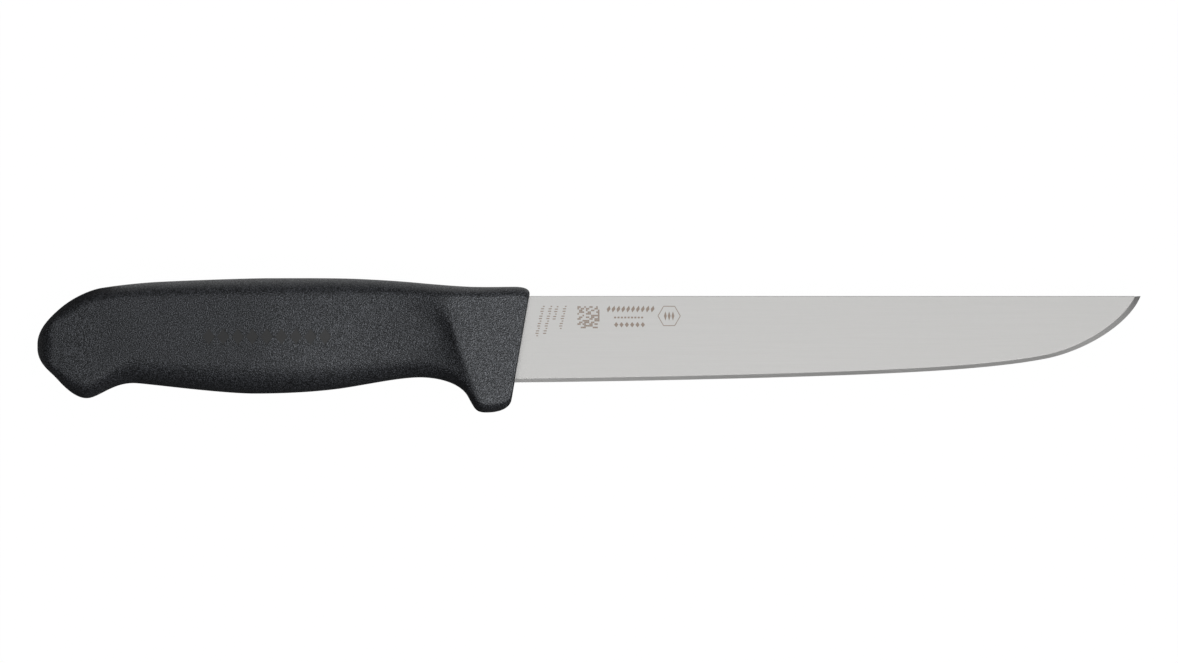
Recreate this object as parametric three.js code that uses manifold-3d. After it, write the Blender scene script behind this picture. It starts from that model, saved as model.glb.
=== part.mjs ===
// Straight-backed butcher's knife lying on its side: a stamped steel blade with a hidden tang, a hard
// core moulded round the tang, and a textured outer grip moulded round the core.
//
// Millimetres. The shapes are drawn about a working datum: x = 0 where the spine leaves the handle,
// +x to the tip, y = 0 along the spine, +y away from the cutting edge, and z = 0 in the middle of the
// thickness. The finished group is moved so that its origin is the middle of its footprint, with the
// knife resting on z = 0.
import * as THREE from "three";
import { mergeVertices } from "three/addons/utils/BufferGeometryUtils.js";
import Module from "manifold-3d";

// Blade
const BLADE_LENGTH = 178; // along the spine, from the handle to the tip
const SPINE_HALF = 1.25; // half of the strip's thickness
const TIP_HALF = 0.5; // half-thickness of the spine at the tip
const TAPER_START = 70; // the spine gets thinner from here to the tip
const FACE_LEAN = 0.0383; // how much each face leans in, per mm from the spine towards the edge
const EDGE_HALF = 0.3; // the lean would run out where the spine were this thin
const BEVEL_WIDTH = 1.1; // the sharpened strip along the edge
const TIP_BEVEL_WIDTH = 1.5; // it grows to this at the tip
const BEVEL_GROWTH_START = 150;
const HEEL_X = -10; // square end of the full-height blade, inside the handle

// Tang
const TANG_MIDDLE_Y = -11.5;
const TANG_ROOT_HALF = 8; // half of its height where it leaves the heel
const TANG_END_HALF = 5;
const TANG_END_X = -112;
const TANG_ROOT_RADIUS = 3; // stress relief where the tang meets the heel
const TANG_OVERLAP = 1; // run of full-thickness strip into the ground blade
const TANG_HOLES_X = [-30, -61, -92];
const TANG_HOLE_RADIUS = 3;

// Handle
const HALF_WIDTH = 11.3; // from the middle plane to the flat side
const SECTION_POWER = 2.3; // 2 is a round shoulder, more is squarer
const FRONT_RIM = 0.5; // rounding between the flat front face and the sides
const NOSE_LENGTH = 5.5; // the sides round over to the nose of the pommel in this length
const POMMEL_NARROWING = 0.5; // each side draws in by this towards the nose
const POMMEL_NARROWING_X = -113; // from here back

// Finger guard: a ridge down each side, at the front of a narrower neck
const RIDGE_TOP = { x: -24.3, y: -3.6 };
const RIDGE_LEAN = 0.35; // forward run of the ridge per mm down
const GUARD_TAPER = 0.22; // the side narrows by this per mm ahead of the ridge
const NECK_DEPTH = 3; // each side of the neck is this far in from the ridge and the belly
const NECK_START_X = -80; // the belly starts to narrow here
const NECK_FULL_X = -32;
const WALL_RUN = 10; // length of the rise from the neck to the ridge, at the height where it is least
const WALL_RUN_Y = -9.5;
const WALL_RUN_GROWTH = 0.2; // and its growth with the square of the distance from that height
const WALL_RUN_MOST = 21;
const WALL_POWER = 4; // the rise gets steeper towards the ridge
const NECK_SHALLOWING = 0.5; // share of the neck's depth that is lost towards the spine
const NECK_SHALLOWING_Y = [-20, 5]; // it is lost between these heights

// Core
const CORE_INSET = 4; // thickness of the outer grip over the core
const CORE_FRONT_X = -16;
const CORE_BACK_X = -129;
const GROOVES_X = [-32, -50, -74, -98, -116]; // keying grooves round the core
const GROOVE_DEPTH = 1.2;
const GROOVE_HALF_LENGTH = 3.5;

const GAP = 0.3; // between neighbouring pieces

// Outlines, as knots [x, y, dx, dy] joined by smooth curves. The knots of the top and bottom lines
// pair up: a straight line between a pair is one cross-section of the handle.
const TOP_LINE = [
  [-142.9, -14.5, 0, 14.5], // nose of the pommel
  [-136.3, -3.6, 9, 8],
  [-124.1, 2.4, 12.5, 2],
  [-109.9, 4, 14, 1],
  [-75.2, 5.2, 22, 0], // highest point of the back
  [-53.4, 5.1, 20, -0.5],
  [-32.9, 3.9, 16, -1.5],
  [-17, 2.7, 12.5, -0.5],
  [-4.5, 2.7, 5, 0],
  [0.2, 0.5, -0.5, -6.5], // top of the front face
];
const BOTTOM_LINE = [
  [-142.9, -14.5, 0, -16],
  [-136.9, -24.4, 7.5, -8.5],
  [-127.2, -29.5, 10.5, 3.5], // heel of the pommel
  [-113.9, -25.4, 18, -1.5],
  [-79.8, -28.4, 27.5, 0], // belly
  [-53.3, -26.7, 22.5, 3.5],
  [-31, -23.7, 17, -0.5], // finger groove
  [-17.7, -29.3, 6, -11],
  [-12.3, -33.9, 9.5, 0], // toe of the finger guard
  [-5.2, -30.7, 2.5, 7], // bottom of the front face
];
const EDGE_LINE = [
  [-12, -25.2, 107, 0.5],
  [95, -22.9, 76, 3],
  [150, -18.3, 37, 7],
  [BLADE_LENGTH, 0, 9, 23.5],
];

// For each pair of knots, the share of the section that is flat above and below its middle, before the
// shoulders start.
const SECTIONS = [
  { flatTop: 0.5, flatBottom: 0.5 },
  { flatTop: 0.6, flatBottom: 0.6 },
  { flatTop: 0.72, flatBottom: 0.66 },
  { flatTop: 0.65, flatBottom: 0.4 },
  { flatTop: 0.65, flatBottom: 0.4 },
  { flatTop: 0.64, flatBottom: 0.45 },
  { flatTop: 0.65, flatBottom: 0.55 },
  { flatTop: 0.8, flatBottom: 0.78 },
  { flatTop: 0.84, flatBottom: 0.84 },
  { flatTop: 0.84, flatBottom: 0.84 },
];

// How finely the surfaces are divided
const HANDLE_STEPS = [8, 5, 4, 5, 4, 6, 10, 6, 8]; // between the knots of the outlines
const EDGE_STEPS = [5, 8, 14]; // between the knots of the edge
const GRIP_DIVISIONS = { shoulder: 6, flat: 6 };
const CORE_DIVISIONS = { shoulder: 3, flat: 2 };
const ARC_SEGMENTS = 8;
const PEG_SEGMENTS = 16;

const wasm = await Module();
wasm.setup();

const { lerp, clamp, smoothstep, mapLinear } = THREE.MathUtils;

// ---- curves ----

// Cubic curves through knots [x, y, dx, dy], one between each two.
function curvesThrough(knots) {
  return knots.slice(1).map(([x1, y1, dx1, dy1], i) => {
    const [x0, y0, dx0, dy0] = knots[i];
    return new THREE.CubicBezierCurve(
      new THREE.Vector2(x0, y0),
      new THREE.Vector2(x0 + dx0 / 3, y0 + dy0 / 3),
      new THREE.Vector2(x1 - dx1 / 3, y1 - dy1 / 3),
      new THREE.Vector2(x1, y1),
    );
  });
}

// A place on those curves: s = 2.5 is half-way from the third knot to the fourth.
function locate(s, count) {
  const index = Math.min(Math.floor(s), count - 1);
  return { index, t: s - index };
}

function pointAt(curves, s) {
  const { index, t } = locate(s, curves.length);
  return curves[index].getPoint(t);
}

// The places that divide each curve into the given number of steps.
function placesAlong(steps) {
  const places = steps.flatMap((n, i) =>
    Array.from({ length: n }, (_, k) => i + k / n),
  );
  return [...places, steps.length];
}

// The place, up to the last knot, where a measure that only rises reaches its target.
function placeWhere(measure, last, target) {
  let low = 0;
  let high = last;
  for (let i = 0; i < 40; i++) {
    const middle = (low + high) / 2;
    if (measure(middle) < target) low = middle;
    else high = middle;
  }
  return low;
}

const topCurves = curvesThrough(TOP_LINE);
const bottomCurves = curvesThrough(BOTTOM_LINE);
const edgeCurves = curvesThrough(EDGE_LINE);

// ---- solids ----

// A manifold solid from points and triangles; points at one place become one vertex, and triangles
// that this flattens are dropped.
function solidFrom(points, triangles) {
  const geometry = new THREE.BufferGeometry().setFromPoints(points);
  geometry.setIndex(triangles);
  return solidFromGeometry(geometry);
}

function solidFromGeometry(source) {
  const geometry = source.clone();
  geometry.deleteAttribute("normal");
  geometry.deleteAttribute("uv");
  const merged = mergeVertices(geometry, 1e-4);
  const index = Array.from(merged.index.array);
  const triVerts = [];
  for (let i = 0; i < index.length; i += 3) {
    const corners = index.slice(i, i + 3);
    if (new Set(corners).size === 3) triVerts.push(...corners);
  }
  return new wasm.Manifold(
    new wasm.Mesh({
      numProp: 3,
      vertProperties: merged.attributes.position.array,
      triVerts: new Uint32Array(triVerts),
    }),
  );
}

// Skins a row of rings that have the same number of points and closes both ends. Seen from the last
// ring, each ring runs from its top down the +z side and back up the -z side.
function loft(rings) {
  const size = rings[0].length;
  const points = rings.flat();
  const triangles = [];
  for (let r = 0; r + 1 < rings.length; r++) {
    for (let j = 0; j < size; j++) {
      const a = r * size + j;
      const b = r * size + ((j + 1) % size);
      triangles.push(a, b, b + size, a, b + size, a + size);
    }
  }
  [0, rings.length - 1].forEach((r) => {
    const centre = points.length;
    const sum = rings[r].reduce((v, p) => v.add(p), new THREE.Vector3());
    points.push(sum.divideScalar(size));
    for (let j = 0; j < size; j++) {
      const a = r * size + j;
      const b = r * size + ((j + 1) % size);
      triangles.push(centre, ...(r === 0 ? [b, a] : [a, b]));
    }
  });
  return solidFrom(points, triangles);
}

// A flat plate of the given outline, centred on the middle plane.
function plate(shape, thickness) {
  const options = { depth: thickness, bevelEnabled: false, curveSegments: ARC_SEGMENTS };
  const geometry = new THREE.ExtrudeGeometry(shape, options);
  return solidFromGeometry(geometry.translate(0, 0, -thickness / 2));
}

// ---- blade ----

// Half-thickness of the blade between its flat faces at (x, y). The faces are true planes as far as
// the taper, and past it they lean in less as the spine gets thinner.
function faceHalf(x, y) {
  const taper = clamp((x - TAPER_START) / (BLADE_LENGTH - TAPER_START), 0, 1);
  const spine = lerp(SPINE_HALF, TIP_HALF, taper);
  const lean = (FACE_LEAN * (spine - EDGE_HALF)) / (SPINE_HALF - EDGE_HALF);
  return spine + lean * y;
}

// Where the bevel's upper line lies for a place on the edge.
function bevelTop(s) {
  const { index, t } = locate(s, edgeCurves.length);
  const edge = edgeCurves[index].getPoint(t);
  const along = edgeCurves[index].getTangent(t);
  const growth = smoothstep(edge.x, BEVEL_GROWTH_START, BLADE_LENGTH);
  const width = lerp(BEVEL_WIDTH, TIP_BEVEL_WIDTH, growth);
  return new THREE.Vector2(edge.x - along.y * width, edge.y + along.x * width);
}

const edgePlaceAtX = (x) => placeWhere((s) => pointAt(edgeCurves, s).x, edgeCurves.length, x);

// One section of the blade: spine, shoulder of the bevel, cutting edge, and the same on the far side.
// Growing it gives the slot that clears the blade.
function bladeRing(shoulder, edge, grow) {
  const spineZ = faceHalf(shoulder.x, 0) + grow;
  const shoulderZ = faceHalf(shoulder.x, shoulder.y) + grow;
  const edgeDrop = (grow * BEVEL_WIDTH) / faceHalf(HEEL_X, edge.y);
  return [
    new THREE.Vector3(shoulder.x, grow, spineZ),
    new THREE.Vector3(shoulder.x, shoulder.y, shoulderZ),
    new THREE.Vector3(edge.x, edge.y - edgeDrop, 0),
    new THREE.Vector3(shoulder.x, shoulder.y, -shoulderZ),
    new THREE.Vector3(shoulder.x, grow, -spineZ),
  ];
}

// Past the place where the bevel's upper line meets the spine, the bevel has no face above it.
function groundBlade() {
  const meeting = placeWhere((s) => bevelTop(s).y, edgeCurves.length, 0);
  const start = edgePlaceAtX(HEEL_X);
  const places = [start, ...placesAlong(EDGE_STEPS).filter((s) => s > start)];
  const rings = places.map((s) =>
    bladeRing(bevelTop(Math.min(s, meeting)), pointAt(edgeCurves, s), 0),
  );
  return loft(rings);
}

// Clears the buried heel of the blade, and runs out through the front face.
function heelSlot() {
  const ends = [HEEL_X - GAP, -HEEL_X];
  const rings = ends.map((x) => {
    const edge = pointAt(edgeCurves, edgePlaceAtX(x));
    const shoulder = new THREE.Vector2(x, edge.y + BEVEL_WIDTH);
    return bladeRing(shoulder, edge, GAP);
  });
  return loft(rings);
}

// ---- tang ----

// Outline of the tang from inside the heel to its rounded end.
function tangShape(grow) {
  const rootX = HEEL_X + TANG_OVERLAP + grow;
  const reliefX = HEEL_X - TANG_ROOT_RADIUS;
  const rootHalf = TANG_ROOT_HALF + grow;
  const flareHalf = rootHalf + TANG_ROOT_RADIUS;
  const endHalf = TANG_END_HALF + grow;
  const endX = TANG_END_X + TANG_END_HALF;
  const y = (half) => TANG_MIDDLE_Y + half;
  const shape = new THREE.Shape();
  shape.moveTo(rootX, y(-flareHalf));
  shape.lineTo(rootX, y(flareHalf));
  shape.lineTo(HEEL_X, y(flareHalf));
  shape.quadraticCurveTo(HEEL_X, y(rootHalf), reliefX, y(rootHalf));
  shape.lineTo(endX, y(endHalf));
  shape.absarc(endX, TANG_MIDDLE_Y, endHalf, Math.PI / 2, Math.PI * 1.5, false);
  shape.lineTo(reliefX, y(-rootHalf));
  shape.quadraticCurveTo(HEEL_X, y(-rootHalf), HEEL_X, y(-flareHalf));
  return shape;
}

function tang() {
  const shape = tangShape(0);
  TANG_HOLES_X.forEach((x) => {
    const hole = new THREE.Path();
    hole.absarc(x, TANG_MIDDLE_Y, TANG_HOLE_RADIUS, 0, Math.PI * 2, true);
    shape.holes.push(hole);
  });
  return plate(shape, 2 * SPINE_HALF);
}

const tangSlot = () => plate(tangShape(GAP), 2 * (SPINE_HALF + GAP));

// ---- handle ----

// Steady change between the values at the knots, level where two neighbours are equal.
function sectionValue(name, s) {
  const { index, t } = locate(s, SECTIONS.length - 1);
  return lerp(SECTIONS[index][name], SECTIONS[index + 1][name], smoothstep(t, 0, 1));
}

const middleX = (s) => (pointAt(topCurves, s).x + pointAt(bottomCurves, s).x) / 2;

// Half-width before the guard is shaped. The pommel narrows a little and ends in a round nose.
function plainHalfWidth(s) {
  const x = middleX(s);
  const noseX = TOP_LINE[0][0];
  const back = clamp((POMMEL_NARROWING_X - x) / (POMMEL_NARROWING_X - noseX), 0, 1);
  const full = HALF_WIDTH - POMMEL_NARROWING * back ** 2;
  const short = clamp(1 - (x - noseX) / NOSE_LENGTH, 0, 1);
  return full * (1 - short ** SECTION_POWER) ** (1 / SECTION_POWER);
}

// How far the neck behind the guard, and the taper ahead of it, draw the side in at (x, y).
function guardRelief(x, y) {
  const ahead = x - (RIDGE_TOP.x + RIDGE_LEAN * (RIDGE_TOP.y - y));
  const inFront = Math.max(ahead, 0);
  const behind = Math.max(-ahead, 0);
  const run = Math.min(WALL_RUN + WALL_RUN_GROWTH * (y - WALL_RUN_Y) ** 2, WALL_RUN_MOST);
  const wall = 1 - (1 - clamp(behind / run, 0, 1)) ** WALL_POWER;
  const depth = NECK_DEPTH * (1 - NECK_SHALLOWING * smoothstep(y, ...NECK_SHALLOWING_Y));
  return depth * smoothstep(x, NECK_START_X, NECK_FULL_X) * wall + GUARD_TAPER * inFront;
}

// Rounding between the sides and the front face.
function rimRelief(x, y) {
  const [[topX, topY], [bottomX, bottomY]] = [TOP_LINE.at(-1), BOTTOM_LINE.at(-1)];
  const lean = (topX - bottomX) / (topY - bottomY);
  const behind = (topX + lean * (y - topY) - x) / Math.hypot(1, lean);
  const short = clamp(FRONT_RIM - behind, 0, FRONT_RIM);
  return FRONT_RIM - Math.sqrt(FRONT_RIM ** 2 - short ** 2);
}

function halfWidthAt(x, y, s) {
  return plainHalfWidth(s) - guardRelief(x, y) - rimRelief(x, y);
}

// Points down one side of a section: height from 1 at the top to -1 at the bottom, and the share of
// the half-width there. A flat middle ends in two rounded shoulders.
function sideSamples(s, divisions) {
  const flatTop = sectionValue("flatTop", s);
  const flatBottom = sectionValue("flatBottom", s);
  const shoulder = (k) => {
    if (k === divisions.shoulder) return { out: 1, width: 0 };
    const angle = (Math.PI / 2) * (k / divisions.shoulder);
    return {
      out: Math.sin(angle) ** (2 / SECTION_POWER),
      width: Math.cos(angle) ** (2 / SECTION_POWER),
    };
  };
  const samples = [];
  for (let k = divisions.shoulder; k >= 0; k--) {
    const { out, width } = shoulder(k);
    samples.push({ height: lerp(flatTop, 1, out), width });
  }
  for (let k = 1; k < divisions.flat; k++) {
    samples.push({ height: lerp(flatTop, -flatBottom, k / divisions.flat), width: 1 });
  }
  for (let k = 0; k <= divisions.shoulder; k++) {
    const { out, width } = shoulder(k);
    samples.push({ height: -lerp(flatBottom, 1, out), width });
  }
  return samples;
}

// One closed cross-section of the handle, drawn in by the inset on every side.
function handleRing(s, inset, divisions) {
  const top = pointAt(topCurves, s);
  const bottom = pointAt(bottomCurves, s);
  const middle = top.clone().add(bottom).multiplyScalar(0.5);
  const half = top.clone().sub(middle);
  const shrink = half.length() > 0 ? 1 - inset / half.length() : 1;
  const side = sideSamples(s, divisions).map(({ height, width }) => {
    const x = middle.x + half.x * height * shrink;
    const y = middle.y + half.y * height * shrink;
    return new THREE.Vector3(x, y, (halfWidthAt(x, y, s) - inset) * width);
  });
  const farSide = side.slice(1, -1).reverse().map((p) => new THREE.Vector3(p.x, p.y, -p.z));
  return [...side, ...farSide];
}

function handleBody() {
  return loft(placesAlong(HANDLE_STEPS).map((s) => handleRing(s, 0, GRIP_DIVISIONS)));
}

// The place whose cross-section has its middle at x.
function sectionAtX(x) {
  return placeWhere(middleX, topCurves.length, x);
}

// The core's outside, with shallow grooves that key the grip to it.
function coreBody(grow) {
  const groove = (x) => [
    [x - GROOVE_HALF_LENGTH, 0],
    [x - GROOVE_HALF_LENGTH + GROOVE_DEPTH, GROOVE_DEPTH],
    [x + GROOVE_HALF_LENGTH - GROOVE_DEPTH, GROOVE_DEPTH],
    [x + GROOVE_HALF_LENGTH, 0],
  ];
  const stations = [
    [CORE_BACK_X - grow, 0],
    ...GROOVES_X.toReversed().flatMap(groove),
    [CORE_FRONT_X + grow, 0],
  ];
  const rings = stations.map(([x, depth]) =>
    handleRing(sectionAtX(x), CORE_INSET + depth - grow, CORE_DIVISIONS),
  );
  return loft(rings);
}

// Plugs of core plastic that fill the holes in the tang and join the core's halves.
function corePegs() {
  const radius = TANG_HOLE_RADIUS - GAP;
  const length = 4 * SPINE_HALF;
  return TANG_HOLES_X.map((x) => {
    const peg = new THREE.CylinderGeometry(radius, radius, length, PEG_SEGMENTS);
    return solidFromGeometry(peg.rotateX(Math.PI / 2).translate(x, TANG_MIDDLE_Y, 0));
  });
}

function handleCore() {
  const halves = coreBody(0).subtract(tangSlot());
  return corePegs().reduce((core, peg) => core.add(peg), halves);
}

function handleGrip() {
  const cavity = coreBody(GAP).add(tangSlot()).add(heelSlot());
  return handleBody().subtract(cavity);
}

// ---- assembly ----

const steel = new THREE.MeshStandardMaterial({ color: 0xc8c7c5, roughness: 0.32, metalness: 1 });
const hardPlastic = new THREE.MeshStandardMaterial({ color: 0x222224, roughness: 0.5, metalness: 0 });
const gripPlastic = new THREE.MeshStandardMaterial({ color: 0x2b2c2f, roughness: 0.62, metalness: 0 });

function meshOf(name, solid, material) {
  const { vertProperties, triVerts } = solid.getMesh();
  const geometry = new THREE.BufferGeometry();
  geometry.setAttribute("position", new THREE.BufferAttribute(vertProperties, 3));
  geometry.setIndex(new THREE.BufferAttribute(triVerts, 1));
  geometry.computeVertexNormals();
  const mesh = new THREE.Mesh(geometry, material);
  mesh.name = name;
  return mesh;
}

const knife = new THREE.Group();
knife.add(
  meshOf("blade", groundBlade().add(tang()), steel),
  meshOf("handle_core", handleCore(), hardPlastic),
  meshOf("handle_grip", handleGrip(), gripPlastic),
);

const box = new THREE.Box3().setFromObject(knife);
const middle = box.getCenter(new THREE.Vector3());
knife.position.set(-middle.x, -middle.y, -box.min.z);

const part = new THREE.Group();
part.add(knife);

export default part;
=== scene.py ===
"""The looks of a butcher's knife lying on its side: a satin steel blade with generic etched marks, and
a fine-grained black grip. Every shape is worked out in millimetres about the knife's own datum, and
moved to the frame's metres when its mesh is made."""
import math

import bmesh
import bpy
import numpy as np
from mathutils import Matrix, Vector


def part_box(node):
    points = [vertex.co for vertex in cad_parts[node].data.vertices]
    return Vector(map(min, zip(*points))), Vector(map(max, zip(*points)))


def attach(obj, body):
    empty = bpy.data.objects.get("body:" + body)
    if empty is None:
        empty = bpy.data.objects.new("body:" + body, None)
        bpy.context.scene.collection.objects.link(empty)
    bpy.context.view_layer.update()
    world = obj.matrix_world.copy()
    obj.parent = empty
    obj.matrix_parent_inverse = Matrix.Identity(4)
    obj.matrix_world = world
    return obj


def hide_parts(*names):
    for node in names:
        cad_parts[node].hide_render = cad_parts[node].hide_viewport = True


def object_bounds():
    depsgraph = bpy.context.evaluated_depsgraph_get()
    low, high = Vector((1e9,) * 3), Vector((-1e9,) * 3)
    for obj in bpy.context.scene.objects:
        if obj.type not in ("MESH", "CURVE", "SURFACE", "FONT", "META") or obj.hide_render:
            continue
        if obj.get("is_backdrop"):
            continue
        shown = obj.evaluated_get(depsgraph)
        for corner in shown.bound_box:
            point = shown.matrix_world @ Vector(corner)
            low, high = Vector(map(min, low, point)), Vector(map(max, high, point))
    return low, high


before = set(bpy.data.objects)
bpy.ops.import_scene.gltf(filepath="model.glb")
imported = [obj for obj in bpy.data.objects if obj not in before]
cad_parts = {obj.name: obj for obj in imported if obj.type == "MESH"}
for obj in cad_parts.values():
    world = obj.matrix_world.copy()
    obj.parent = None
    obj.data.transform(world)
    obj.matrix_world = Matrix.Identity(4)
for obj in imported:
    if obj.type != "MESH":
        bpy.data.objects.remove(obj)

CAD_LOW, CAD_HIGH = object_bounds()
MM = 0.001

# The datum: x = 0 where the spine leaves the handle, y = 0 along the spine, z = 0 in the middle plane.
BLADE_LENGTH = 178.0
BLADE_LOW, BLADE_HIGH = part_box("blade")
DATUM = np.array([
    BLADE_HIGH.x - BLADE_LENGTH * MM,
    BLADE_HIGH.y,
    (BLADE_LOW.z + BLADE_HIGH.z) / 2,
])

# Blade
SPINE_HALF = 1.25
TIP_HALF = 0.5
TAPER_START = 70.0
FACE_LEAN = 0.0383
EDGE_HALF = 0.3
BEVEL_WIDTH = 1.1
TIP_BEVEL_WIDTH = 1.5
BEVEL_GROWTH_START = 150.0
HEEL_X = -10.0
SPINE_CHAMFER = 0.12
HONED_WIDTH = 0.2  # the narrow polished strip between the flat side and the bevel
HONED_LEAN = 0.11

# Tang
TANG_MIDDLE_Y = -11.5
TANG_ROOT_HALF = 8.0
TANG_END_HALF = 5.0
TANG_END_X = -112.0
TANG_ROOT_RADIUS = 3.0
TANG_OVERLAP = 1.0
TANG_HOLES_X = (-30.0, -61.0, -92.0)
TANG_HOLE_RADIUS = 3.0

# Handle
HALF_WIDTH = 11.3
SECTION_POWER = 2.3
FRONT_RIM = 0.5
NOSE_LENGTH = 5.5
POMMEL_NARROWING = 0.5
POMMEL_NARROWING_START = -113.0

# Finger guard: a ridge down each side, at the front of a narrower neck
RIDGE_TOP = (-24.3, -3.6)
RIDGE_LEAN = 0.35
GUARD_TAPER = 0.22
NECK_DEPTH = 3.0
NECK_START_X = -80.0
NECK_FULL_X = -32.0
WALL_RUN = 10.0
WALL_RUN_Y = -9.5
WALL_RUN_GROWTH = 0.2
WALL_RUN_MOST = 21.0
WALL_POWER = 4
NECK_SHALLOWING = 0.5
NECK_SHALLOWING_Y = (-20.0, 5.0)
RIDGE_ROUNDING = 0.8
RIDGE_TOP_ROUNDING = 3.0
RIDGE_SOFTENING_Y = (-11.0, 2.0)

# Core, and the gaps left round it and round the blade
CORE_INSET = 4.0
CORE_FRONT_X = -16.0
CORE_BACK_X = -129.0
GROOVES_X = (-116.0, -98.0, -74.0, -50.0, -32.0)
GROOVE_DEPTH = 1.2
GROOVE_HALF_LENGTH = 3.5
CORE_GAP = 0.3
BLADE_GAP = 0.05
SLOT_FRONT_X = 10.0  # past the front face, so that the cutter of the blade's slot comes right through

# Outlines as knots (x, y, dx, dy); the top and bottom knots pair up as cross-sections.
TOP_LINE = np.array([
    (-142.9, -14.5, 0, 14.5),
    (-136.3, -3.6, 9, 8),
    (-124.1, 2.4, 12.5, 2),
    (-109.9, 4, 14, 1),
    (-75.2, 5.2, 22, 0),
    (-53.4, 5.1, 20, -0.5),
    (-32.9, 3.9, 16, -1.5),
    (-17, 2.7, 12.5, -0.5),
    (-4.5, 2.7, 5, 0),
    (0.2, 0.5, -0.5, -6.5),
])
BOTTOM_LINE = np.array([
    (-142.9, -14.5, 0, -16),
    (-136.9, -24.4, 7.5, -8.5),
    (-127.2, -29.5, 10.5, 3.5),
    (-113.9, -25.4, 18, -1.5),
    (-79.8, -28.4, 27.5, 0),
    (-53.3, -26.7, 22.5, 3.5),
    (-31, -23.7, 17, -0.5),
    (-17.7, -29.3, 6, -11),
    (-12.3, -33.9, 9.5, 0),
    (-5.2, -30.7, 2.5, 7),
])
EDGE_LINE = np.array([
    (-12, -25.2, 107, 0.5),
    (95, -22.9, 76, 3),
    (150, -18.3, 37, 7),
    (BLADE_LENGTH, 0, 9, 23.5),
])
# At each pair of knots, how far up and down the flat of the side reaches, as a share of the half-height
FLAT_TOPS = np.array([0.5, 0.6, 0.72, 0.65, 0.65, 0.64, 0.65, 0.8, 0.84, 0.84])
FLAT_BOTTOMS = np.array([0.5, 0.6, 0.66, 0.4, 0.4, 0.45, 0.55, 0.78, 0.84, 0.84])

# How finely the surfaces are divided: steps between knots, then down the shoulders and the flat
HANDLE_STEPS = (44, 34, 30, 44, 36, 44, 60, 50, 60)
EDGE_STEPS = (30, 60, 130)
GRIP_DIVISIONS = (18, 26)
CORE_DIVISIONS = (5, 4)
FILLET_STEPS = 8
TANG_END_STEPS = 24
TANG_HOLE_STEPS = 48
HALVINGS = 40  # of a search interval
WELD_DISTANCE = 0.0005 * MM
UV_SCALE = 4.0
BLADE_CREASE = 3.0  # in degrees, as is the grip's
GRIP_CREASE = 30.0

# A row of lozenges, pressed into the +z side of the grip where a maker would put a name
RELIEF_START_X = -92.5
RELIEF_MIDDLE_Y = -11.8
RELIEF_COUNT = 9
RELIEF_PITCH = 4.2
RELIEF_HALF_SIZES = (1.8, 2.4)
RELIEF_DEPTH = 0.22

# Etched marks on the blade's +z side
MARK_PROUD = 0.01
MARK_SUNK = 0.05
CODE_CORNER = (14.1, -2.95)
CODE_CELLS = 13
CODE_SIZE = 6.45
CODE_FILL = 0.94  # the share of a cell's side that its mark takes up
BADGE_MIDDLE = (40.8, -5.8)
BADGE_RADIUS = 3.25
BADGE_STROKE = 0.22
BADGE_PITCH = 1.1
BADGE_HALF_SIZES = (0.42, 1.35)
DASH_ROWS = ((11.0, -3.0, 10), (8.6, -3.1, 6), (6.8, -3.0, 12), (4.6, -3.0, 13))  # x, y and count
DASH_STEP = (-0.1615, -0.7125)  # the rows run down in line with the handle's front face
DASH_LENGTHS = (0.5, 0.9, 0.9)
DASH_DROP = 0.02
DASH_WIDTH = 0.3


# ---- small helpers ----

def lerp(a, b, t):
    return a + (b - a) * t


def smoothstep(value, low, high):
    t = np.clip((value - low) / (high - low), 0, 1)
    return t * t * (3 - 2 * t)


def locate(s, last):
    """The knot before place s, and how far s is on from it."""
    index = int(min(math.floor(s), last - 1))
    return index, s - index


def point_at(knots, s):
    """The point of a smooth line through knots (x, y, dx, dy) at place s, counted in knots."""
    i, t = locate(s, len(knots) - 1)
    a, b = knots[i], knots[i + 1]
    place = a[:2] * (2 * t**3 - 3 * t**2 + 1) + b[:2] * (3 * t**2 - 2 * t**3)
    return place + a[2:] * (t**3 - 2 * t**2 + t) + b[2:] * (t**3 - t**2)


def direction_at(knots, s):
    """The line's direction at place s, of length 1."""
    i, t = locate(s, len(knots) - 1)
    a, b = knots[i], knots[i + 1]
    slope = (a[:2] - b[:2]) * (6 * t * t - 6 * t)
    slope = slope + a[2:] * (3 * t * t - 4 * t + 1) + b[2:] * (3 * t * t - 2 * t)
    return slope / np.linalg.norm(slope)


def place_where(measure, last, target):
    """The place, up to the last knot, where a measure that only rises reaches its target."""
    low, high = 0.0, float(last)
    for _ in range(HALVINGS):
        middle = (low + high) / 2
        if measure(middle) < target:
            low = middle
        else:
            high = middle
    return low


def places_along(steps):
    """Places from the first knot to the last, with so many steps between each knot and the next."""
    places = [i + k / n for i, n in enumerate(steps) for k in range(n)]
    return [*places, float(len(steps))]


# ---- meshes ----

def make_object(name, points, faces):
    """A mesh object from points in millimetres about the datum."""
    mesh = bpy.data.meshes.new(name)
    placed = np.asarray(points, float) * MM + DATUM
    mesh.from_pydata(placed.tolist(), [], faces)
    mesh.validate()
    mesh.update()
    made = bpy.data.objects.new(name, mesh)
    bpy.context.scene.collection.objects.link(made)
    return made


def weld(piece):
    """Joins points that coincide and drops the faces that this flattens."""
    work = bmesh.new()
    work.from_mesh(piece.data)
    bmesh.ops.remove_doubles(work, verts=work.verts, dist=WELD_DISTANCE)
    bmesh.ops.dissolve_degenerate(work, edges=work.edges, dist=WELD_DISTANCE)
    bmesh.ops.recalc_face_normals(work, faces=work.faces)
    work.to_mesh(piece.data)
    work.free()
    return piece


def loft(name, rings):
    """Skins rings that each run from the top down the +z side and back up the -z side."""
    size = len(rings[0])
    faces = []
    for r in range(len(rings) - 1):
        for j in range(size):
            a, b = r * size + j, r * size + (j + 1) % size
            faces.append((a, b, b + size, a + size))
    last = (len(rings) - 1) * size
    faces.append(tuple(reversed(range(size))))
    faces.append(tuple(last + j for j in range(size)))
    return weld(make_object(name, np.concatenate(rings), faces))


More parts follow.
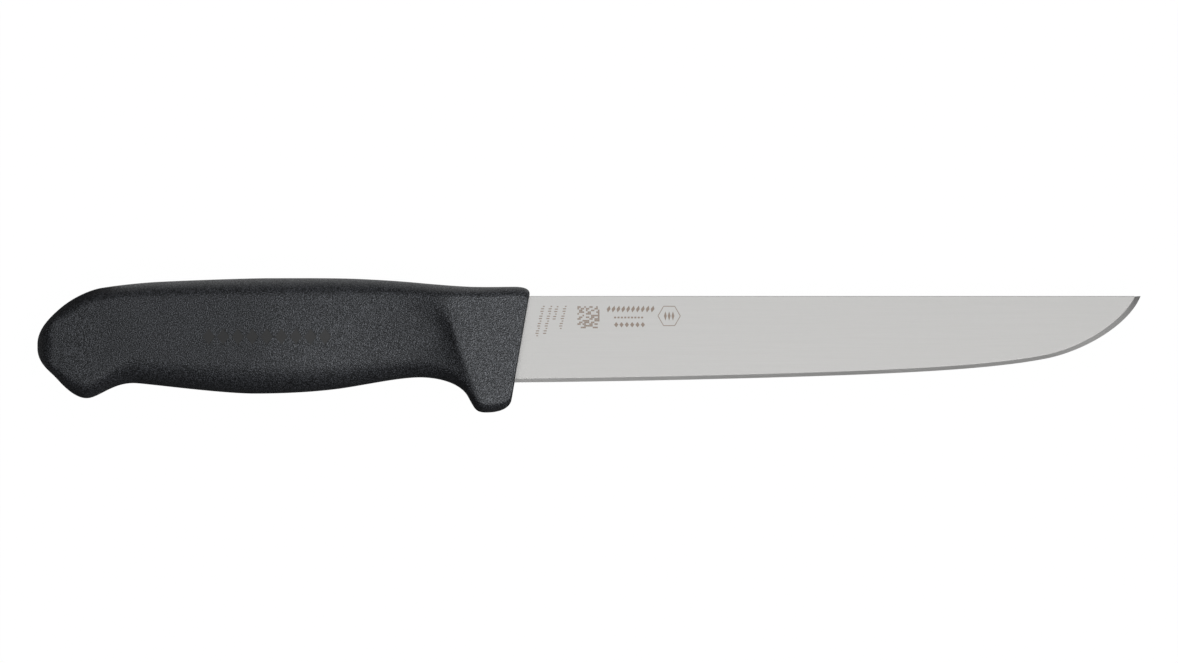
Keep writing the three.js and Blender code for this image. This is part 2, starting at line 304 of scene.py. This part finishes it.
def prism(name, outline, low, high):
    """A closed block over a flat outline. low and high are numbers, or functions of (x, y)."""
    size = len(outline)
    points = []
    for level in (low, high):
        points += [(x, y, level(x, y) if callable(level) else level) for x, y in outline]
    faces = [tuple(reversed(range(size))), tuple(range(size, 2 * size))]
    faces += [(j, (j + 1) % size, size + (j + 1) % size, size + j) for j in range(size)]
    return make_object(name, points, faces)


def combine(piece, cutter, operation):
    """Cuts or joins with another closed mesh, which is used up."""
    step = piece.modifiers.new("combine", "BOOLEAN")
    step.operation = operation
    step.solver = "MANIFOLD"
    step.object = cutter
    bpy.context.view_layer.update()
    seen = piece.evaluated_get(bpy.context.evaluated_depsgraph_get())
    mesh = bpy.data.meshes.new_from_object(seen)
    piece.modifiers.clear()
    old = piece.data
    piece.data = mesh
    bpy.data.meshes.remove(old)
    bpy.data.objects.remove(cutter)
    return piece


def join(name, parts):
    """One object from several separate closed meshes."""
    points, faces = [], []
    for part in parts:
        start = len(points)
        points += [tuple(v.co) for v in part.data.vertices]
        faces += [tuple(start + i for i in f.vertices) for f in part.data.polygons]
        bpy.data.objects.remove(part)
    mesh = bpy.data.meshes.new(name)
    mesh.from_pydata(points, [], faces)
    mesh.update()
    made = bpy.data.objects.new(name, mesh)
    bpy.context.scene.collection.objects.link(made)
    return made


def shade(piece, crease_degrees):
    """Smooth shading, with edges sharper than the angle left crisp."""
    work = bmesh.new()
    work.from_mesh(piece.data)
    for face in work.faces:
        face.smooth = True
    for edge in work.edges:
        edge.smooth = edge.calc_face_angle(0) < math.radians(crease_degrees)
    work.to_mesh(piece.data)
    work.free()


# ---- blade ----

def face_half(x, y):
    """Half-thickness of the blade between its flat sides at (x, y)."""
    taper = np.clip((x - TAPER_START) / (BLADE_LENGTH - TAPER_START), 0, 1)
    spine = lerp(SPINE_HALF, TIP_HALF, taper)
    lean = FACE_LEAN * (spine - EDGE_HALF) / (SPINE_HALF - EDGE_HALF)
    return spine + lean * y


def above_edge(s, extra):
    """The point a bevel's width, and some more, in from the cutting edge at place s."""
    edge = point_at(EDGE_LINE, s)
    along = direction_at(EDGE_LINE, s)
    growth = smoothstep(edge[0], BEVEL_GROWTH_START, BLADE_LENGTH)
    width = lerp(BEVEL_WIDTH, TIP_BEVEL_WIDTH, growth) + extra
    return np.array([edge[0] - along[1] * width, edge[1] + along[0] * width])


def mirrored_ring(side):
    """A closed ring from the points down the +z side; a point on the middle plane isn't doubled."""
    far = [(x, y, -z) for x, y, z in reversed(side) if z > 0]
    return np.array([*side, *far])


def ground_blade():
    """The blade from its heel to its tip: spine, chamfer, flat side, honed strip, bevel and edge."""
    last = len(EDGE_LINE) - 1
    face_end, bevel_start = [
        place_where(lambda s: above_edge(s, extra)[1], last, -SPINE_CHAMFER) for extra in (HONED_WIDTH, 0)
    ]
    start = place_where(lambda s: point_at(EDGE_LINE, s)[0], last, HEEL_X)
    rings = []
    for s in [start, *[s for s in places_along(EDGE_STEPS) if s > start]]:
        low = above_edge(min(s, face_end), HONED_WIDTH)
        honed = above_edge(min(s, bevel_start), 0)
        edge = point_at(EDGE_LINE, s)
        spine = face_half(low[0], 0)
        drop = HONED_LEAN * np.linalg.norm(low - honed)
        rings.append(mirrored_ring([
            (low[0], 0, spine - SPINE_CHAMFER),
            (low[0], -SPINE_CHAMFER, face_half(low[0], -SPINE_CHAMFER)),
            (low[0], low[1], face_half(*low)),
            (honed[0], honed[1], face_half(*low) - drop),
            (edge[0], edge[1], 0),
        ]))
    return loft("blade_steel", rings)


def arc(x, y, radius, start, end, steps):
    """Points on an arc; the angles are in degrees."""
    angles = np.radians(np.linspace(start, end, steps + 1))
    return [(x + radius * math.cos(a), y + radius * math.sin(a)) for a in angles]


def tang_outline(grow):
    """The tang, from inside the heel to its rounded end."""
    root = TANG_ROOT_HALF + grow
    flare = root + TANG_ROOT_RADIUS
    end_x = TANG_END_X + TANG_END_HALF
    fillet = []
    for t in np.linspace(0, 1, FILLET_STEPS + 1):
        x = lerp(HEEL_X, HEEL_X - TANG_ROOT_RADIUS, t * t)
        fillet.append((x, flare - TANG_ROOT_RADIUS * (2 * t - t * t)))
    top = [(HEEL_X + TANG_OVERLAP + grow, flare), *fillet]
    end = arc(end_x, 0, TANG_END_HALF + grow, 90, 270, TANG_END_STEPS)
    half = [*top, *end[:len(end) // 2 + 1]]
    outline = [*half, *[(x, -y) for x, y in reversed(half[:-1])]]
    return [(x, TANG_MIDDLE_Y + y) for x, y in outline]


def make_blade():
    """The ground blade and its tang with three holes, as one piece of steel."""
    blade = ground_blade()
    tang = prism("tang", tang_outline(0)[::-1], -SPINE_HALF, SPINE_HALF)
    for x in TANG_HOLES_X:
        ring = arc(x, TANG_MIDDLE_Y, TANG_HOLE_RADIUS, 0, 360, TANG_HOLE_STEPS)[:-1]
        combine(tang, prism("hole", ring, -2 * SPINE_HALF, 2 * SPINE_HALF), "DIFFERENCE")
    return combine(blade, tang, "UNION")


# ---- handle ----

def section_value(values, s):
    """A value given at each pair of knots, eased between them to place s."""
    i, t = locate(s, len(values) - 1)
    return lerp(values[i], values[i + 1], smoothstep(t, 0, 1))


def middle_x(s):
    """How far along the handle the section at place s has its middle."""
    return (point_at(TOP_LINE, s)[0] + point_at(BOTTOM_LINE, s)[0]) / 2


def plain_half_width(s):
    """Half-width before the guard is shaped. The pommel narrows a little and ends in a round nose."""
    x = middle_x(s)
    nose_x = TOP_LINE[0][0]
    back = np.clip((POMMEL_NARROWING_START - x) / (POMMEL_NARROWING_START - nose_x), 0, 1)
    full = HALF_WIDTH - POMMEL_NARROWING * back**2
    short = np.clip(1 - (x - nose_x) / NOSE_LENGTH, 0, 1)
    return full * (1 - short**SECTION_POWER) ** (1 / SECTION_POWER)


def guard_relief(x, y):
    """How far the side is drawn in by the neck behind the guard's ridge and the taper ahead of it."""
    ahead = x - (RIDGE_TOP[0] + RIDGE_LEAN * (RIDGE_TOP[1] - y))
    rounding = lerp(RIDGE_ROUNDING, RIDGE_TOP_ROUNDING, smoothstep(y, *RIDGE_SOFTENING_Y))
    soft = np.hypot(ahead, rounding)
    in_front, behind = (soft + ahead) / 2, (soft - ahead) / 2
    run = np.minimum(WALL_RUN + WALL_RUN_GROWTH * (y - WALL_RUN_Y) ** 2, WALL_RUN_MOST)
    wall = 1 - (1 - np.clip(behind / run, 0, 1)) ** WALL_POWER
    depth = NECK_DEPTH * (1 - NECK_SHALLOWING * smoothstep(y, *NECK_SHALLOWING_Y))
    return depth * smoothstep(x, NECK_START_X, NECK_FULL_X) * wall + GUARD_TAPER * in_front


def rim_relief(x, y):
    """The rounding between the sides and the flat front face."""
    top, bottom = TOP_LINE[-1], BOTTOM_LINE[-1]
    lean = (top[0] - bottom[0]) / (top[1] - bottom[1])
    behind = (top[0] + lean * (y - top[1]) - x) / math.hypot(1, lean)
    short = np.clip(FRONT_RIM - behind, 0, FRONT_RIM)
    return FRONT_RIM - np.sqrt(FRONT_RIM**2 - short**2)


def half_width_at(x, y, s):
    """Half-width of the handle's flat side at (x, y), which the section at place s runs through."""
    return plain_half_width(s) - guard_relief(x, y) - rim_relief(x, y)


def side_samples(s, divisions):
    """Down one side of a section: the height from 1 to -1, and the share of the half-width there."""
    shoulder_steps, flat_steps = divisions
    top, bottom = section_value(FLAT_TOPS, s), section_value(FLAT_BOTTOMS, s)
    angle = np.linspace(0, math.pi / 2, shoulder_steps + 1)
    out = np.sin(angle) ** (2 / SECTION_POWER)
    width = np.clip(np.cos(angle), 0, 1) ** (2 / SECTION_POWER)
    out[-1], width[-1] = 1, 0
    flat = np.linspace(top, -bottom, flat_steps + 1)[1:-1]
    heights = np.concatenate([lerp(top, 1, out)[::-1], flat, -lerp(bottom, 1, out)])
    widths = np.concatenate([width[::-1], np.ones(len(flat)), width])
    return heights, widths


def handle_ring(s, inset, divisions):
    """One closed cross-section of the handle, drawn in by the inset on every side."""
    top, bottom = point_at(TOP_LINE, s), point_at(BOTTOM_LINE, s)
    middle, half = (top + bottom) / 2, (top - bottom) / 2
    length = np.linalg.norm(half)
    shrink = 1 - inset / length if length > 0 else 1
    heights, widths = side_samples(s, divisions)
    x = middle[0] + half[0] * heights * shrink
    y = middle[1] + half[1] * heights * shrink
    z = (half_width_at(x, y, s) - inset) * widths
    side = np.stack([x, y, z], 1)
    return np.concatenate([side, side[-2:0:-1] * (1, 1, -1)])


def section_at(x):
    """The place of the section whose middle is at x."""
    return place_where(middle_x, len(TOP_LINE) - 1, x)


def core_cutter():
    """The space that the core fills, with its keying grooves."""
    stations = [(CORE_BACK_X - CORE_GAP, 0)]
    for x in GROOVES_X:
        stations += [
            (x - GROOVE_HALF_LENGTH, 0),
            (x - GROOVE_HALF_LENGTH + GROOVE_DEPTH, GROOVE_DEPTH),
            (x + GROOVE_HALF_LENGTH - GROOVE_DEPTH, GROOVE_DEPTH),
            (x + GROOVE_HALF_LENGTH, 0),
        ]
    stations.append((CORE_FRONT_X + CORE_GAP, 0))
    inset = CORE_INSET - CORE_GAP
    rings = [handle_ring(section_at(x), inset + depth, CORE_DIVISIONS) for x, depth in stations]
    return loft("core_space", rings)


def heel_cutter():
    """The slot in the front face that the blade comes out of."""
    rings = []
    for x in (HEEL_X - CORE_GAP, SLOT_FRONT_X):
        s = place_where(lambda s: point_at(EDGE_LINE, s)[0], len(EDGE_LINE) - 1, x)
        edge = point_at(EDGE_LINE, s)
        shoulder = edge[1] + BEVEL_WIDTH
        drop = BLADE_GAP * BEVEL_WIDTH / face_half(x, edge[1])
        rings.append(mirrored_ring([
            (x, BLADE_GAP, face_half(x, 0) + BLADE_GAP),
            (x, shoulder, face_half(x, shoulder) + BLADE_GAP),
            (x, edge[1] - drop, 0),
        ]))
    return loft("blade_slot", rings)


def lozenge(x, y, half_length, half_height, lean=0.0):
    """A four-sided outline, counter-clockwise, with points at its ends."""
    return [
        (x + half_length, y),
        (x + lean, y + half_height),
        (x - half_length, y),
        (x - lean, y - half_height),
    ]


def relief_floor(x, y):
    """The height of the bottom of the pressed-in lozenges."""
    return half_width_at(x, y, section_at(x)) - RELIEF_DEPTH


def relief_cutters():
    """The space of each pressed-in lozenge."""
    places = [RELIEF_START_X + k * RELIEF_PITCH for k in range(RELIEF_COUNT)]
    outlines = [lozenge(x, RELIEF_MIDDLE_Y, *RELIEF_HALF_SIZES) for x in places]
    return [prism("relief", outline, relief_floor, 2 * HALF_WIDTH) for outline in outlines]


def make_grip():
    """The outer shell of the handle, hollow for the core, the tang and the heel of the blade."""
    rings = [handle_ring(s, 0, GRIP_DIVISIONS) for s in places_along(HANDLE_STEPS)]
    grip = loft("grip", rings)
    reach = SPINE_HALF + CORE_GAP
    tang_space = prism("tang_space", tang_outline(CORE_GAP)[::-1], -reach, reach)
    for cutter in (core_cutter(), tang_space, heel_cutter(), *relief_cutters()):
        combine(grip, cutter, "DIFFERENCE")
    return grip


def is_relief_floor(face):
    """Whether a face of the grip is the bottom of a pressed-in lozenge."""
    x, y, z = (np.array(face.center) - DATUM) / MM
    half_length, half_height = RELIEF_HALF_SIZES
    near = abs(y - RELIEF_MIDDLE_Y) < half_height and face.normal.z > 0.9
    along = RELIEF_START_X - half_length < x < RELIEF_START_X + RELIEF_COUNT * RELIEF_PITCH
    tolerance = 0.8 * RELIEF_DEPTH  # the side itself lies a whole depth above the floor
    return near and along and abs(z - relief_floor(x, y)) < tolerance


# ---- marks on the blade ----

def bar(start, end, width):
    """A straight stroke between two points, as a four-sided outline."""
    start, end = np.array(start), np.array(end)
    along = (end - start) / np.linalg.norm(end - start)
    aside = np.array([along[1], -along[0]]) * width / 2
    return [start + aside, end + aside, end - aside, start - aside]


def code_outlines():
    """A square of small cells, filled by a plain sum rule and carrying no code."""
    cell = CODE_SIZE / CODE_CELLS
    side = cell * CODE_FILL
    outlines = []
    for i in range(CODE_CELLS):
        for j in range(CODE_CELLS):
            if (3 * i * i + j * j + 4 * i + j * (i + j) // 2) % 7 in (0, 1, 3):
                x = CODE_CORNER[0] + (i + 0.5) * cell
                y = CODE_CORNER[1] - (j + 0.5) * cell
                outlines.append(bar((x - side / 2, y), (x + side / 2, y), side))
    return outlines


def row(start, pitch, count, shape):
    """One shape, repeated in the direction of the spine."""
    return [shape(start[0] + k * pitch, start[1]) for k in range(count)]


def line_outlines():
    """Three lines of plain shapes where a name and two lines of type would be."""
    leaning = row((23.2, -3.8), 1.42, 10, lambda x, y: lozenge(x, y, 0.55, 1.0, lean=0.25))
    dashes = row((24.8, -6.25), 0.98, 9, lambda x, y: bar((x, y), (x + 0.6, y), 0.5))
    upright = row((25.4, -8.35), 1.55, 6, lambda x, y: lozenge(x, y, 0.62, 0.78))
    return [*leaning, *dashes, *upright]


def badge_outlines():
    """A hexagon of thin strokes round three lozenges."""
    x, y = BADGE_MIDDLE
    corners = arc(x, y, BADGE_RADIUS, 0, 360, 6)
    strokes = [bar(a, b, BADGE_STROKE) for a, b in zip(corners, corners[1:])]
    return [*strokes, *[lozenge(x + k * BADGE_PITCH, y, *BADGE_HALF_SIZES) for k in (-1, 0, 1)]]


def dash_outlines():
    """Short strokes in rows beside the handle, two in every three of them long."""
    outlines = []
    for row_x, row_y, count in DASH_ROWS:
        for k in range(count):
            x = row_x + k * DASH_STEP[0]
            y = row_y + k * DASH_STEP[1]
            length = DASH_LENGTHS[k % len(DASH_LENGTHS)]
            outlines.append(bar((x - length, y - DASH_DROP), (x, y), DASH_WIDTH))
    return outlines


def make_marks():
    """Very thin films on the blade's +z side, sunk in a little so that no gap shows."""
    outlines = [*code_outlines(), *line_outlines(), *badge_outlines(), *dash_outlines()]
    low = lambda x, y: face_half(x, y) - MARK_SUNK
    high = lambda x, y: face_half(x, y) + MARK_PROUD
    return join("blade_marks", [prism("mark", outline, low, high) for outline in outlines])


# ---- materials ----

def new_material(name):
    """A material and its one Principled shader."""
    material = bpy.data.materials.new(name)
    material.use_nodes = True
    nodes = material.node_tree.nodes
    nodes.clear()
    shader = nodes.new("ShaderNodeBsdfPrincipled")
    output = nodes.new("ShaderNodeOutputMaterial")
    material.node_tree.links.new(shader.outputs["BSDF"], output.inputs["Surface"])
    return material, shader


# The Mix node has sockets for each kind of data; these are the ones for colours.
MIX_FACTOR, MIX_FIRST, MIX_SECOND = 0, 6, 7
MIX_RESULT = 2


class Graph:
    """Short ways to add nodes to a material."""

    def __init__(self, material):
        self.tree = material.node_tree

    def node(self, kind, values=None, **settings):
        """A node with its settings, and with its inputs linked to sockets or set to values."""
        made = self.tree.nodes.new(kind)
        for key, value in settings.items():
            setattr(made, key, value)
        for key, value in (values or {}).items():
            if isinstance(value, bpy.types.NodeSocket):
                self.tree.links.new(value, made.inputs[key])
            else:
                made.inputs[key].default_value = value
        return made

    def position(self, scale):
        """Object coordinates in metres, multiplied by a scale for each axis."""
        place = self.node("ShaderNodeTexCoord").outputs["Object"]
        stretched = self.node("ShaderNodeMapping", {"Vector": place, "Scale": scale})
        return stretched.outputs["Vector"]

    def noise(self, scale, detail, roughness=0.5):
        """Noise of so many lumps a metre along each axis."""
        values = {
            "Vector": self.position(scale),
            "Scale": 1.0,
            "Detail": detail,
            "Roughness": roughness,
        }
        return self.node("ShaderNodeTexNoise", values).outputs["Fac"]

    def remap(self, value, low, high, to_low, to_high):
        """The value moved from one range to another, and kept inside it."""
        values = {
            "Value": value,
            "From Min": low,
            "From Max": high,
            "To Min": to_low,
            "To Max": to_high,
        }
        return self.node("ShaderNodeMapRange", values).outputs["Result"]

    def add(self, a, b):
        return self.node("ShaderNodeMath", {0: a, 1: b}, operation="ADD").outputs[0]

    def colours(self, value, low, high):
        """A colour between two others, as the value goes from 0 to 1."""
        values = {MIX_FACTOR: value, MIX_FIRST: (*low, 1), MIX_SECOND: (*high, 1)}
        return self.node("ShaderNodeMix", values, data_type="RGBA").outputs[MIX_RESULT]

    def bump(self, height, strength, distance, normal=None):
        values = {"Height": height, "Strength": strength, "Distance": distance}
        if normal is not None:
            values["Normal"] = normal
        return self.node("ShaderNodeBump", values).outputs["Normal"]

    def link(self, source, shader, name):
        self.tree.links.new(source, shader.inputs[name])


def steel_material():
    """Satin steel with fine grinding lines along the blade and a faint cloudy tone."""
    material, shader = new_material("satin_steel")
    graph = Graph(material)
    shader.inputs["Metallic"].default_value = 1.0
    shader.inputs["Anisotropic"].default_value = 0.7
    shader.inputs["Anisotropic Rotation"].default_value = 0.25
    lines = graph.noise((90, 5200, 900), detail=4, roughness=0.65)
    streaks = graph.noise((22, 900, 300), detail=3, roughness=0.6)
    clouds = graph.noise((35, 60, 60), detail=3, roughness=0.55)
    mixed = graph.remap(lines, 0.3, 0.7, 0.0, 0.35)
    mixed = graph.add(mixed, graph.remap(streaks, 0.3, 0.7, 0.0, 0.35))
    mixed = graph.add(mixed, graph.remap(clouds, 0.3, 0.7, 0.0, 0.3))
    graph.link(graph.colours(mixed, (0.60, 0.595, 0.583), (0.66, 0.655, 0.643)), shader, "Base Color")
    graph.link(graph.remap(mixed, 0.0, 1.0, 0.27, 0.34), shader, "Roughness")
    graph.link(graph.bump(lines, 0.12, 0.01 * MM), shader, "Normal")
    tangent = graph.node("ShaderNodeTangent", direction_type="UV_MAP", uv_map="UVMap")
    graph.link(tangent.outputs["Tangent"], shader, "Tangent")
    return material


def grip_material():
    """Black plastic with a fine moulded grain. Bright specks painted into its base colour stand for glints,
    and the same specks also bump the surface.
    """
    material, shader = new_material("grained_black_plastic")
    graph = Graph(material)
    shader.inputs["Specular IOR Level"].default_value = 0.53
    shader.inputs["Specular Tint"].default_value = (0.92, 0.955, 1.0, 1)
    grain = graph.noise((3100, 3100, 3100), detail=0)
    specks_and_painted_glints = graph.noise((3900, 3900, 3900), detail=0)
    patches = graph.noise((70, 70, 70), detail=3)
    tone = graph.remap(grain, 0.48, 0.68, 0.0, 0.45)
    # painted glints: the specks lift the base colour to a light grey in small spots, as highlights off the
    # grain would
    tone = graph.add(tone, graph.remap(specks_and_painted_glints, 0.61, 0.71, 0.0, 1.3))
    tone = graph.add(tone, graph.remap(patches, 0.3, 0.7, -0.03, 0.03))
    graph.link(graph.colours(tone, (0.0012, 0.0013, 0.0016), (0.088, 0.092, 0.103)), shader, "Base Color")
    graph.link(graph.remap(grain, 0.35, 0.65, 0.6, 0.38), shader, "Roughness")
    coarse = graph.bump(grain, 0.8, 0.15 * MM)
    graph.link(graph.bump(specks_and_painted_glints, 0.5, 0.09 * MM, coarse), shader, "Normal")
    return material


def smooth_grip_material():
    """The same black plastic where the mould was polished, with only a faint unevenness."""
    material, shader = new_material("smooth_black_plastic")
    graph = Graph(material)
    shader.inputs["Specular IOR Level"].default_value = 0.5
    patches = graph.noise((400, 400, 400), detail=3)
    graph.link(graph.colours(patches, (0.006, 0.0062, 0.0066), (0.012, 0.0124, 0.0132)), shader, "Base Color")
    graph.link(graph.remap(patches, 0.3, 0.7, 0.3, 0.36), shader, "Roughness")
    graph.link(graph.bump(patches, 0.3, 0.02 * MM), shader, "Normal")
    return material


def etched_material():
    """The brownish film that etching leaves on steel."""
    material, shader = new_material("etched_film")
    graph = Graph(material)
    shader.inputs["Metallic"].default_value = 1.0
    mottle = graph.noise((2500, 2500, 2500), detail=3, roughness=0.6)
    graph.link(graph.colours(mottle, (0.32, 0.262, 0.222), (0.42, 0.35, 0.30)), shader, "Base Color")
    graph.link(graph.remap(mottle, 0.3, 0.7, 0.34, 0.46), shader, "Roughness")
    graph.link(graph.bump(mottle, 0.2, 0.008 * MM), shader, "Normal")
    return material


def core_material():
    """Hard moulded plastic, smoother than the grip."""
    material, shader = new_material("core_plastic")
    graph = Graph(material)
    shader.inputs["IOR"].default_value = 1.49
    flow = graph.noise((60, 260, 260), detail=3)
    graph.link(graph.colours(flow, (0.014, 0.014, 0.015), (0.026, 0.026, 0.028)), shader, "Base Color")
    graph.link(graph.remap(flow, 0.3, 0.7, 0.38, 0.5), shader, "Roughness")
    graph.link(graph.bump(flow, 0.2, 0.05 * MM), shader, "Normal")
    return material


def give(piece, material):
    """Makes the material the only one of the piece."""
    piece.data.materials.clear()
    piece.data.materials.append(material)


def lay_out(piece):
    """Texture coordinates along the blade's own x and y, for the direction of the grinding lines."""
    layer = piece.data.uv_layers.new(name="UVMap")
    points = np.array([v.co for v in piece.data.vertices])
    corners = np.array([l.vertex_index for l in piece.data.loops])
    layer.data.foreach_set("uv", points[corners][:, :2].ravel() * UV_SCALE)


# ---- the object ----

blade = make_blade()
shade(blade, BLADE_CREASE)
lay_out(blade)
give(blade, steel_material())
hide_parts("blade")
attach(blade, "root")

marks = make_marks()
give(marks, etched_material())
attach(marks, "root")

grip = make_grip()
shade(grip, GRIP_CREASE)
give(grip, grip_material())
grip.data.materials.append(smooth_grip_material())
for face in grip.data.polygons:
    face.material_index = 1 if is_relief_floor(face) else 0
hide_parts("handle_grip")
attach(grip, "root")

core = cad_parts["handle_core"]
give(core, core_material())


# ---- floor, light and camera ----

def make_floor():
    """White, and seen by the camera only, so that it casts no light up into the grip's lower edge."""
    reach, drop = 3.0, 0.2 * MM
    mesh = bpy.data.meshes.new("floor")
    corners = [(-reach, -reach, 0), (reach, -reach, 0), (reach, reach, 0), (-reach, reach, 0)]
    mesh.from_pydata(corners, [], [(0, 1, 2, 3)])
    floor = bpy.data.objects.new("floor", mesh)
    bpy.context.scene.collection.objects.link(floor)
    floor.location.z = -drop
    floor.visible_glossy = False
    floor.visible_diffuse = False
    material, shader = new_material("white_floor")
    shader.inputs["Base Color"].default_value = (0.05, 0.05, 0.05, 1)
    shader.inputs["Roughness"].default_value = 1.0
    shader.inputs["Specular IOR Level"].default_value = 0.0
    shader.inputs["Emission Color"].default_value = (1, 1, 1, 1)
    shader.inputs["Emission Strength"].default_value = 0.99
    floor.data.materials.append(material)
    floor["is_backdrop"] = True


def lit_group(name, pieces):
    """The pieces that a lamp is kept to."""
    group = bpy.data.collections.new(name)
    for piece in pieces:
        group.objects.link(piece)
    return group


def area_light(name, place, target, size, radiance, only=None):
    """A rectangular lamp whose surface has the given brightness. Places and sizes are in metres."""
    lamp = bpy.data.lights.new(name, "AREA")
    lamp.shape = "RECTANGLE"
    lamp.size, lamp.size_y = size
    lamp.energy = radiance * math.pi * size[0] * size[1]
    made = bpy.data.objects.new(name, lamp)
    bpy.context.scene.collection.objects.link(made)
    made.location = place
    made.rotation_euler = (Vector(target) - Vector(place)).to_track_quat("-Z", "Y").to_euler()
    made.visible_camera = False
    made.light_linking.receiver_collection = only


def light_all():
    """Soft lamps overhead, and two cards just above the floor that rim the handle's edges."""
    knife = (0, 0, 0.01)
    area_light("overhead", (0.06, 0, 0.9), (0.06, 0, 0), size=(0.8, 0.5), radiance=0.955)
    area_light("far", (0, 0.516, 0.747), knife, size=(0.7, 0.3), radiance=0.5)
    area_light("near", (0, -0.308, 0.856), knife, size=(0.7, 0.16), radiance=1.6)
    area_light("back_card", (-0.07, 0.12, -0.0001), (-0.07, 0.12, 1), size=(0.14, 0.2), radiance=0.6)
    area_light("pommel_card", (-0.27, 0, -0.0001), (-0.27, 0, 1), size=(0.2, 0.16), radiance=0.1)


def light_handle():
    """The key lamp, low enough at the tip's end to pick out the faces of the finger guard."""
    handle = lit_group("handle", [grip, core])
    area_light("key", (0.687, 0, 0.86), (0, 0, 0.01), size=(0.16, 0.6), radiance=27.5, only=handle)


def light_steel():
    """Tall panels all round, so that the blade shines from low down as well while the grip keeps its
    dark shoulders, and a lamp for the bevel where it turns up to the tip."""
    steel = lit_group("steel", [blade, marks])
    distance, width, height, radiance = 1.2, 2.2, 1.0, 0.5
    for name, x, y in (("tip", 1, 0), ("back", 0, 1), ("pommel", -1, 0), ("edge", 0, -1)):
        place = (x * distance, y * distance, height / 2)
        area_light(name + "_panel", place, (0, 0, height / 2), (width, height), radiance, only=steel)
    area_light("tip_side", (0.52, -0.36, 0.9), (0.12, 0, 0.01), (0.5, 0.5), radiance=0.55, only=steel)


def make_world():
    """Pale where the camera sees it, and dim as a light."""
    world = bpy.data.worlds.new("studio")
    bpy.context.scene.world = world
    world.use_nodes = True
    tree = world.node_tree
    tree.nodes.clear()
    path = tree.nodes.new("ShaderNodeLightPath")
    seen = tree.nodes.new("ShaderNodeBackground")
    seen.inputs["Color"].default_value = (0.93, 0.93, 0.93, 1)
    lit = tree.nodes.new("ShaderNodeBackground")
    lit.inputs["Color"].default_value = (0.05, 0.05, 0.052, 1)
    mix = tree.nodes.new("ShaderNodeMixShader")
    output = tree.nodes.new("ShaderNodeOutputWorld")
    tree.links.new(path.outputs["Is Camera Ray"], mix.inputs[0])
    tree.links.new(lit.outputs[0], mix.inputs[1])
    tree.links.new(seen.outputs[0], mix.inputs[2])
    tree.links.new(mix.outputs[0], output.inputs["Surface"])


def make_camera():
    """Looks straight down on the middle of the frame, which is 343 mm wide."""
    middle, frame_width = (17.49, -10.32, 0), 0.3428
    lens, sensor = 200.0, 36.0
    camera = bpy.data.cameras.new("camera")
    camera.lens, camera.sensor_width = lens, sensor
    camera.clip_start, camera.clip_end = 0.05, 20
    made = bpy.data.objects.new("camera", camera)
    bpy.context.scene.collection.objects.link(made)
    made.location = DATUM + np.array(middle) * MM
    made.location.z += frame_width * lens / sensor
    bpy.context.scene.camera = made


make_floor()
make_world()
light_all()
light_handle()
light_steel()
make_camera()
bpy.context.scene.view_settings.view_transform = "Standard"

low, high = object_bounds()
{"cad": [list(CAD_LOW), list(CAD_HIGH)], "visual": [list(low), list(high)]}
